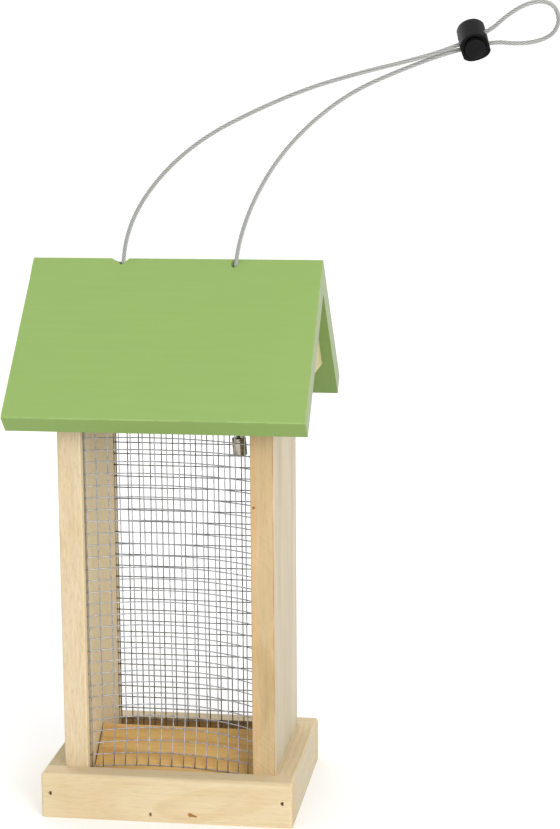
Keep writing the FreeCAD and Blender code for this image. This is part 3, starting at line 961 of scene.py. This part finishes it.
@dataclass
class MeshWalls:
    """Two sheets of welded wire mesh, the front one sprung into a bow.

    Attributes:
        half_width: Half of the space between the panels.
        reach: How far the level wires enter the grooves.
        front_face: Place of the front sheet at the panels.
        high: Height that the sheets end below.
        soften: Height over which the bow is evened out.
        dip: Drop of the level wires at the right end.
        lean: Most that a level wire leans.
        sway: Most that an upright wire sways.
        side_shift: Shift of the upright wires from the middle.
    """

    wire: float = 0.6 * MM
    pitch: float = 6.2 * MM
    half_width: float = 43.0 * MM
    reach: float = 1.5 * MM
    front_face: float = -33.6 * MM
    back_face: float = 34.0 * MM
    low: float = 21.3 * MM
    high: float = 228.9 * MM
    back_low: float = 12.3 * MM
    bow_low: float = 6.6 * MM
    bow_most: float = 14.0 * MM
    bow_high: float = 5.0 * MM
    bow_height: float = 44.0 * MM
    soften: float = 7.0 * MM
    dip: float = 1.6 * MM
    lean: float = 0.25 * MM
    sway: float = 0.3 * MM
    side_shift: float = -1.6 * MM
    steps: int = 28
    seed: int = 7
    # Painted light: the front sheet's wire is a lighter copy of the same galvanised wire.
    front_finish: Finish = WireFinish(
        "galvanised_wire_painted_light", from_screen(140, 142, 147), from_screen(186, 188, 193), metallic=0.8
    )
    # Painted shade: the back sheet's wire is a darker copy of the same galvanised wire.
    back_finish: Finish = WireFinish(
        "galvanised_wire_painted_shade", from_screen(112, 114, 116), from_screen(152, 154, 157), metallic=0.9
    )

    def build(self) -> None:
        """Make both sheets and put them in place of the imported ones."""
        sheets = (
            ("front_mesh", self._front(), self.front_finish),
            ("back_mesh", self._back(), self.back_finish),
        )
        for node, mesh, finish in sheets:
            stand_in(new_piece(node + "_wires", mesh, finish), node, Body.FEEDER)

    def _straight_bow(self, z: float) -> float:
        """Bow at a height, in two straight stretches.

        Args:
            z: Height.

        Returns:
            Depth of the bow.
        """
        if z < self.bow_height:
            share = (z - self.low) / (self.bow_height - self.low)
            return self.bow_low + (self.bow_most - self.bow_low) * share
        share = (z - self.bow_height) / (self.high - self.bow_height)
        return self.bow_most + (self.bow_high - self.bow_most) * share

    def _bow_at(self, z: float) -> float:
        """Bow at a height, evened out where the sheet turns."""
        heights = (z - self.soften, z, z + self.soften)
        return sum(self._straight_bow(height) for height in heights) / len(heights)

    def _arc(self, bow: float) -> float:
        """Radius of the sheet's arc for a bow."""
        return (self.half_width**2 + bow**2) / (2 * bow)

    def _on_front(self, x: float, z: float, outward: float = 0.0) -> Vector:
        """Point on the bowed sheet, or in front of it.

        Args:
            x: Place across the sheet.
            z: Height.
            outward: Distance in front of the sheet.

        Returns:
            The point.
        """
        bow = self._bow_at(z)
        radius = self._arc(bow)
        axis = self.front_face + bow - radius
        angle = math.asin(x / radius)
        reach = radius - outward
        return Vector((reach * math.sin(angle), axis + reach * math.cos(angle), z))

    def _upright_places(self, width: float) -> list[float]:
        """Places of the upright wires along a sheet's width, measured from its middle."""
        count = int(width / self.pitch) + 1
        return [self.pitch * (k - (count - 1) / 2) + self.side_shift for k in range(count)]

    def _heights(self, low: float) -> list[float]:
        """Heights of the level wires from the lowest one up."""
        return [low + self.pitch * row for row in range(int((self.high - low) / self.pitch) + 1)]

    def _front(self) -> Mesh:
        """Bowed sheet: level wires that dip to the right, upright wires in front of them.

        Returns:
            The sheet.
        """
        draw = random.Random(self.seed)
        mesh = bmesh.new()
        span = self.half_width + self.reach
        shares = [k / self.steps for k in range(self.steps + 1)]
        heights = self._heights(self.low)
        for z in heights:
            lean = draw.uniform(-self.lean, self.lean)
            drops = [self.dip * share**2 - lean * (share - 0.5) for share in shares]
            path = [self._on_front(span * (2 * share - 1), z - drop) for share, drop in zip(shares, drops)]
            add_tube(mesh, path, self.wire / 2)
        radius = self._arc(self.bow_most)
        tall = heights[-1] - heights[0] + self.wire
        for place in self._upright_places(2 * radius * math.asin(self.half_width / radius)):
            x = radius * math.sin(place / radius)
            sway = draw.uniform(-self.sway, self.sway)
            low = self.low - self.wire / 2 - self.dip * ((x + span) / (2 * span)) ** 2
            places = [(x + sway * math.sin(math.pi * share), low + tall * share) for share in shares]
            add_tube(mesh, [self._on_front(across, z, self.wire) for across, z in places], self.wire / 2)
        return mesh

    def _back(self) -> Mesh:
        """Flat sheet with its upright wires on the outer side.

        Returns:
            The sheet.
        """
        mesh = bmesh.new()
        span = self.half_width + self.reach
        heights = self._heights(self.back_low)
        for z in heights:
            add_tube(mesh, [Vector((x, self.back_face, z)) for x in (-span, span)], self.wire / 2)
        ends = (heights[0] - self.wire / 2, heights[-1] + self.wire / 2)
        for x in self._upright_places(2 * self.half_width):
            add_tube(mesh, [Vector((x, self.back_face + self.wire, z)) for z in ends], self.wire / 2)
        return mesh


@dataclass
class Roof:
    """Two painted boards and the bare gable blocks under them."""

    ridge: float = 282.5 * MM
    slope_length: float = 100.0 * MM
    half_length: float = 75.0 * MM
    right_pale: Colour = from_screen(190, 180, 136)

    def build(self) -> None:
        """Dress the roof's nodes."""
        for node, side in (("roof_front_board", -1), ("roof_back_board", 1)):
            dress(GreenPaint(node + "_paint", side, self.ridge, self.slope_length, self.half_length), node)
        dress(PineFinish("left_block_pine", Grain.ALONG_Y, pith=(-0.04, 0.2)), "left_gable_block")
        right = PineFinish("right_block_pine", Grain.ALONG_Y, self.right_pale, pith=(0.09, 0.2))
        dress(right, "right_gable_block")


@dataclass(frozen=True)
class LockPlace:
    """Where the cord lock sits on the doubled cable, and how it is turned.

    Attributes:
        centre: Middle of the lock's slot.
        cord_angle: Rise of the cable through the lock, in degrees.
        button_tilt: How far the button points below the level, in degrees.
    """

    centre: Place = (149.5 * MM, 0.0, 390.0 * MM)
    cord_angle: float = 18.0
    button_tilt: float = 32.0

    def point(self, along: float, aside: float, out: float = 0.0) -> Vector:
        """Point that lies along the cable, aside towards its upper strand and out through the button."""
        return self.matrix() @ Vector((along, aside, out))

    def matrix(self) -> Matrix:
        """Turn from the lock's own axes, along, aside and out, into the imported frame.

        Returns:
            The turn with its shift.
        """
        turn = math.radians(self.cord_angle)
        tilt = math.radians(self.button_tilt)
        cord = Vector((math.cos(turn), 0.0, math.sin(turn)))
        below = Vector((math.sin(turn), 0.0, -math.cos(turn)))
        button = Vector((0.0, -1.0, 0.0)) * math.cos(tilt) + below * math.sin(tilt)
        axes = Matrix((cord, button.cross(cord), button)).transposed().to_4x4()
        return Matrix.Translation(self.centre) @ axes


@dataclass
class Hanger:
    """Crossbar, steel cable with its stop sleeves, and the fasteners.

    Attributes:
        coat: Thickness of its clear coat.
        lay: Length of one turn of the strands.
        step: Distance between the rings of a strand.
        underside: Height of the ridge's underside.
        end_gap: Gap between the ridge's underside and the two ends.
        stretch_gap: A gap below that underside; not used.
        bend_drop: Drop below the crossbar where the right end starts to lean.
        foot_lean: Lean of the right sleeve, in degrees.
        foot_reach: How far the right end stands out of its sleeve.
        there: Control points from the left hole to the lock, in mm.
        around: Control points round the loop, along and aside of the lock, in mm.
        back: Control points from the lock to the right hole, in mm.
    """

    cable: float = 2.0 * MM
    coat: float = 0.08 * MM
    length: float = 527.7 * MM
    strands: int = 6
    lay: float = 13.0 * MM
    step: float = 0.65 * MM
    smoothness: int = 24
    underside: float = 265.53 * MM
    bar_top: float = 224.03 * MM
    bar_bottom: float = 212.03 * MM
    left_hole: tuple[float, float] = (-28.5 * MM, -1.0 * MM)
    right_hole: tuple[float, float] = (30.0 * MM, -2.0 * MM)
    end_gap: float = 1.8 * MM
    stretch_gap: float = 3.0 * MM
    bend_drop: float = 6.0 * MM
    foot_lean: float = 4.5
    foot_reach: float = 0.3 * MM
    there: tuple[Place, ...] = (
        (-28.3, -1.0, 280.5), (-24.6, -1.0, 298.5), (-15.2, -1.0, 315.6),
        (-0.6, -1.0, 331.8), (17.4, -1.0, 345.4), (40.5, -1.0, 357.0),
        (67.5, -1.0, 368.2), (96.0, -1.0, 376.2), (117.0, -0.93, 381.0),
    )
    around: tuple[tuple[float, float], ...] = (
        (-13.0, 0.75), (9.0, 3.2), (19.0, 8.4), (28.5, 11.1), (37.0, 10.4), (42.6, 5.2),
        (42.6, -3.8), (37.4, -10.2), (28.5, -11.0), (19.0, -8.3), (9.0, -3.0), (-13.0, -0.75),
    )
    back: tuple[Place, ...] = (
        (112.5, 0.94, 376.4), (90.0, 0.0, 366.6), (70.5, -0.3, 352.6), (54.0, -0.6, 335.6),
        (41.6, -1.0, 316.2), (33.8, -1.6, 297.0), (30.1, -2.0, 279.5),
    )
    lock: LockPlace = LockPlace()
    cable_finish: StrandFinish = StrandFinish("cable_steel")
    sleeve_finish: Finish = WireFinish(
        "polished_sleeve", from_screen(150, 142, 122), from_screen(200, 194, 178), roughness=0.1, mottle=300.0
    )

    def build(self) -> None:
        """Dress the hanger's nodes and lay the cable."""
        dress(PineFinish("crossbar_pine", Grain.ALONG_X, pith=(0.02, 0.26)), "hanger_crossbar")
        dress(self.sleeve_finish, "left_stop_sleeve", "right_stop_sleeve")
        dress(FASTENER_STEEL, "crossbar_screws", "tray_brads", "panel_brads", "roof_brads")
        dress(RUSTY_STEEL, "floor_brads")
        self._lay_free_cable()
        self._hang_ends()

    def _route(self) -> list[Vector]:
        """Points of the free cable: left ridge hole, lock, loop, lock, right ridge hole.

        Returns:
            The cable's control points.
        """
        holes = (self.left_hole, self.right_hole)
        start, end = (Vector((*hole, self.underside - abs(hole[1]))) for hole in holes)
        there, back = ([Vector(point) * MM for point in points] for points in (self.there, self.back))
        around = [self.lock.point(along * MM, aside * MM) for along, aside in self.around]
        return [start, *there, *around, *back, end]

    def _smooth_line(self, points: Sequence[Vector]) -> list[Vector]:
        """Read points along a smooth spline that has the given points as its control points.

        Args:
            points: Control points.

        Returns:
            Points along the spline.
        """
        curve = bpy.data.curves.new("cable_line", "CURVE")
        curve.dimensions = "3D"
        spline = curve.splines.new("NURBS")
        spline.points.add(len(points) - 1)
        for target, point in zip(spline.points, points):
            target.co = (*point, 1.0)
        spline.order_u = 3
        spline.use_endpoint_u = True
        spline.resolution_u = self.smoothness
        holder = bpy.data.objects.new("cable_line", curve)
        mesh = bpy.data.meshes.new_from_object(holder)
        line = [vertex.co.copy() for vertex in mesh.vertices]
        bpy.data.objects.remove(holder)
        bpy.data.curves.remove(curve)
        bpy.data.meshes.remove(mesh)
        return line

    def _even_steps(self, line: Sequence[Vector]) -> list[Vector]:
        """Points at even steps along a line.

        Args:
            line: Points of the line, at any spacing.

        Returns:
            Points about one strand step apart, from end to end.
        """
        reached = [0.0]
        for near, far in zip(line, line[1:]):
            reached.append(reached[-1] + (far - near).length)
        count = max(2, round(reached[-1] / self.step))
        even = []
        part = 0
        for k in range(count + 1):
            goal = reached[-1] * k / count
            while part < len(line) - 2 and reached[part + 1] < goal:
                part += 1
            run = reached[part + 1] - reached[part]
            even.append(line[part].lerp(line[part + 1], (goal - reached[part]) / run))
        return even

    def _strands(self, *lines: Sequence[Vector]) -> Mesh:
        """Lay the strands of the cable round a core along lines.

        Args:
            *lines: Centre lines of the cable.

        Returns:
            The strands, with a layer for the share of the cable's radius.
        """
        mesh = bmesh.new()
        reach = mesh.verts.layers.float.new(self.cable_finish.layer)
        outer = self.cable / 2 + self.coat
        strand_radius = outer / 3
        for line in lines:
            even = self._even_steps(line)
            frames = frames_along(even)
            add_tube(mesh, even, strand_radius)
            for strand in range(self.strands):
                path = []
                for k, (point, side, lift) in enumerate(frames):
                    angle = 2 * math.pi * (strand / self.strands + k * self.step / self.lay)
                    path.append(point + (side * math.cos(angle) + lift * math.sin(angle)) * 2 * strand_radius)
                for ring, point in zip(add_tube(mesh, path, strand_radius), even):
                    for corner in ring:
                        corner[reach] = (corner.co - point).length / outer
        return mesh

    def _lay_free_cable(self) -> None:
        """Lay the cable from the ridge through the lock, round its loop and back."""
        route = self._route()
        line = self._smooth_line(route)
        cable = new_piece("hanger_cable_strands", self._strands(line), self.cable_finish)
        stand_in(cable, "hanger_cable", Body.ROOF)

    def _hang_ends(self) -> None:
        """Hang the two cable ends from the ridge through the crossbar into their sleeves."""
        top = self.underside - self.end_gap
        left_low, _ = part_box("left_stop_sleeve")
        left = [Vector((*self.left_hole, z)) for z in (top, left_low.z)]
        low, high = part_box("right_stop_sleeve")
        lean = math.radians(self.foot_lean)
        foot = Vector(((low.x + high.x) / 2, self.right_hole[1], low.z))
        foot += Vector((math.sin(lean), 0.0, -math.cos(lean))) * self.foot_reach
        heights = (top, self.bar_top, self.bar_bottom - self.bend_drop)
        right = self._smooth_line([*(Vector((*self.right_hole, z)) for z in heights), foot])
        ends = new_piece("cable_end_strands", self._strands(left, right), self.cable_finish)
        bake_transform(ends)
        stand_in(ends, "hanger_cable_inner")


@dataclass(frozen=True)
class Turning:
    """Turned piece on the lock's own axis, with one rounded end.

    Attributes:
        rounding: Rounding of the one end.
        square: 2 for a round section, more for one that fills its corners.
        flat: Place of the flats that the cable runs through.
    """

    radius: float
    rounding: float
    round_end: float
    plain_end: float
    square: float = 2.0
    flat: float = math.inf

    def solid(self) -> Mesh:
        """Turn the piece.

        Returns:
            The closed solid.
        """
        inward = math.copysign(self.rounding, self.plain_end - self.round_end)
        profile = [(0.0, self.round_end)]
        for k in range(ROUNDING_STEPS + 1):
            angle = math.pi / 2 * k / ROUNDING_STEPS
            radius = self.radius - self.rounding * (1 - math.sin(angle))
            profile.append((radius, self.round_end + inward * (1 - math.cos(angle))))
        profile += [(self.radius, self.plain_end), (0.0, self.plain_end)]
        return turned(profile, self.square, self.flat)


@dataclass(frozen=True)
class Slot:
    """Long hole for the cable across the lock.

    Attributes:
        low: Place of its inner side.
        high: Place of its outer side.
        length: Length of the block that cuts it.
    """

    half_width: float
    low: float
    high: float
    rounding: float = 0.9 * MM
    length: float = 30.0 * MM
    segments: int = 4

    def block(self) -> Mesh:
        """Make the block that cuts the slot.

        Returns:
            A long block with rounded corners.
        """
        mesh = bmesh.new()
        bmesh.ops.create_cube(mesh, size=1.0)
        size = Matrix.Diagonal((self.length, 2 * self.half_width, self.high - self.low, 1.0))
        lift = Matrix.Translation((0.0, 0.0, (self.low + self.high) / 2))
        bmesh.ops.transform(mesh, matrix=lift @ size, verts=mesh.verts)
        long = self.length / 2
        edges = [edge for edge in mesh.edges if abs(edge.verts[0].co.x - edge.verts[1].co.x) > long]
        bmesh.ops.bevel(
            mesh, geom=edges, offset=self.rounding, segments=self.segments, profile=0.5, affect="EDGES"
        )
        return mesh


@dataclass
class CordLock:
    """Black plastic barrel on the doubled cable, with a button on a spring.

    Its sizes run along the cable, aside towards the cable's upper strand, and out through the button.

    Attributes:
        pieces: Names of the pieces that ride on the cable.
        floor: Thickness of the closed end.
        dip: How far the walls above and below the button stay behind those beside it.
        relief_radius: Radius of the hollow at the mouth's upper side.
        relief_shift: Shift of that hollow towards the upper side.
        relief_low: Place of its floor.
        spring_radius: Radius of the coil at the middle of its wire.
        spring_foot: Place of the first turn on the lock's own axis.
        spring_head: Place of the last turn there.
    """

    pieces: ClassVar[tuple[str, ...]] = ("lock_barrel", "lock_plunger", "lock_spring_coil")

    place: LockPlace = LockPlace()
    barrel: Turning = Turning(7.5 * MM, 3.5 * MM, -12.3 * MM, 6.6 * MM, 2.2, 6.9 * MM)
    floor: float = 1.7 * MM
    dip: float = 1.9 * MM
    relief_radius: float = 4.5 * MM
    relief_shift: float = 1.8 * MM
    relief_low: float = 2.5 * MM
    slot: Slot = Slot(4.6 * MM, -1.6 * MM, 1.1 * MM)
    button: Turning = Turning(5.2 * MM, 0.6 * MM, 7.0 * MM, -4.5 * MM)
    button_gap: float = 0.1 * MM
    button_slot: Slot = Slot(3.9 * MM, -1.1 * MM, 4.8 * MM)
    pocket_radius: float = 3.6 * MM
    pocket_depth: float = 2.1 * MM
    spring_wire: float = 0.6 * MM
    spring_radius: float = 2.8 * MM
    spring_turns: int = 3
    spring_foot: float = -10.25 * MM
    spring_head: float = -2.75 * MM
    steps: int = 24
    barrel_finish: Finish = SatinPlastic("lock_body_plastic")
    button_finish: Finish = SatinPlastic(
        "lock_button_plastic", from_screen(16, 16, 17), from_screen(24, 24, 25)
    )

    def build(self) -> None:
        """Make the barrel and the button, and wind the spring between them."""
        barrel, button, spring = self.pieces
        self._wind_spring(spring)
        body = new_piece(barrel, self.barrel.solid(), self.barrel_finish)
        carve(body, self._barrel_cuts())
        stand_in(body, "cord_lock_body", Body.LOCK)
        plunger = new_piece(button, self.button.solid(), self.button_finish)
        inner_end = self.button.plain_end
        pocket = plug(self.pocket_radius, 2 * inner_end, inner_end + self.pocket_depth)
        carve(plunger, [self.button_slot.block(), pocket])
        stand_in(plunger, "cord_lock_button", Body.BUTTON)
        for piece in (body, plunger):
            piece.data.transform(self.place.matrix())

    def _barrel_cuts(self) -> list[Mesh]:
        """Bore for the button, hollow and saddle of the mouth, and slot for the cable.

        Returns:
            The shapes to take away.
        """
        beyond = 2 * self.barrel.radius
        bore = plug(self.button.radius + self.button_gap, self.barrel.round_end + self.floor, beyond)
        relief = plug(self.relief_radius, self.relief_low, beyond)
        bmesh.ops.translate(relief, vec=(0.0, self.relief_shift, 0.0), verts=relief.verts)
        saddle_radius = (self.barrel.radius**2 + self.dip**2) / (2 * self.dip)
        saddle = plug(saddle_radius, -beyond, beyond)
        lift = Matrix.Translation((0.0, 0.0, self.barrel.plain_end - self.dip + saddle_radius))
        bmesh.ops.transform(saddle, matrix=lift @ Matrix.Rotation(math.pi / 2, 4, "X"), verts=saddle.verts)
        return [bore, relief, saddle, self.slot.block()]

    def _wind_spring(self, name: str) -> None:
        """Wind the spring between the lock's floor and the button.

        Args:
            name: Name of the spring.
        """
        count = self.steps * self.spring_turns
        path = []
        for k in range(count + 1):
            angle = 2 * math.pi * k / self.steps
            out = self.spring_foot + (self.spring_head - self.spring_foot) * k / count
            along, aside = self.spring_radius * math.cos(angle), -self.spring_radius * math.sin(angle)
            path.append(self.place.point(along, aside, out))
        mesh = bmesh.new()
        add_tube(mesh, path, self.spring_wire / 2)
        coil = new_piece(name, mesh, FASTENER_STEEL)
        ends = (self.spring_foot - self.spring_wire / 2, self.spring_head + self.spring_wire / 2)
        foot, head = (self.place.point(0.0, 0.0, end) for end in ends)
        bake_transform(coil)
        stand_in(coil, "cord_lock_spring")


@dataclass
class Studio:
    """Pale floor, even white light with a soft key, and the camera.

    Angles are in degrees, the lens and its sensor, on the picture's long side, in mm, and powers in watts.
    """

    azimuth: float = 8.319
    elevation: float = 10.465
    roll: float = -0.378
    distance: float = 1042.99 * MM
    target: Place = (52.43 * MM, 0.0, 202.89 * MM)
    lens: float = 88.33
    sensor: float = 36.0
    floor_radius: float = 6.0
    floor_sides: int = 96
    sky: float = 1.06
    key_power: float = 24.0
    key_size: float = 0.9
    key_place: Place = (1.16, -1.86, 0.78)
    fill_power: float = 11.0
    fill_size: float = 1.6
    fill_place: Place = (-1.1, 1.9, 0.9)

    def build(self) -> None:
        """Make the floor, the light and the camera."""
        mesh = bmesh.new()
        bmesh.ops.create_circle(mesh, cap_ends=True, radius=self.floor_radius, segments=self.floor_sides)
        new_piece("studio_floor", mesh, FloorFinish())
        self._light()
        self._set_camera()

    def _light(self) -> None:
        """White surroundings, a soft key from the right front and a weak fill from behind."""
        world = bpy.data.worlds.new("white_studio")
        world.use_nodes = True
        background = world.node_tree.nodes["Background"]
        background.inputs["Color"].default_value = (1.0, 1.0, 1.0, 1.0)
        background.inputs["Strength"].default_value = self.sky
        bpy.context.scene.world = world
        bpy.context.scene.view_settings.view_transform = "Standard"
        self._hang_softbox("key_softbox", self.key_power, self.key_size, self.key_place)
        self._hang_softbox("fill_softbox", self.fill_power, self.fill_size, self.fill_place)

    def _hang_softbox(self, name: str, power: float, size: float, place: Place) -> None:
        """Hang a square soft light that looks at the target.

        Args:
            name: Name of the light.
            power: Its power in watts.
            size: Its width.
            place: Where it hangs.
        """
        light = bpy.data.lights.new(name, "AREA")
        light.energy = power
        light.size = size
        lamp = bpy.data.objects.new(name, light)
        lamp.location = place
        lamp.rotation_euler = (Vector(self.target) - Vector(place)).to_track_quat("-Z", "Y").to_euler()
        bpy.context.scene.collection.objects.link(lamp)

    def _set_camera(self) -> None:
        """Camera at the photograph's place and angle."""
        turn, rise, roll = (math.radians(angle) for angle in (self.azimuth, self.elevation, self.roll))
        back = Vector((math.sin(turn) * math.cos(rise), -math.cos(turn) * math.cos(rise), math.sin(rise)))
        level = Vector((math.cos(turn), math.sin(turn), 0.0))
        right = level * math.cos(roll) + back.cross(level) * math.sin(roll)
        data = bpy.data.cameras.new("photo_camera")
        data.sensor_width = self.sensor
        data.lens = self.lens
        camera = bpy.data.objects.new("photo_camera", data)
        rotation = Matrix((right, back.cross(right), back)).transposed().to_4x4()
        camera.matrix_world = Matrix.Translation(Vector(self.target) + back * self.distance) @ rotation
        bpy.context.scene.collection.objects.link(camera)
        bpy.context.scene.camera = camera


def main() -> None:
    """Build the studio and every sub-assembly of the feeder in order."""
    logging.basicConfig(level=logging.INFO, format="%(message)s")
    for assembly in (Studio(), CordLock(), Hanger(), Tray(), SidePanels(), MeshWalls(), Roof()):
        assembly.build()
        LOG.info("finished %s", type(assembly).__name__)


if __name__ == "__main__":
    main()
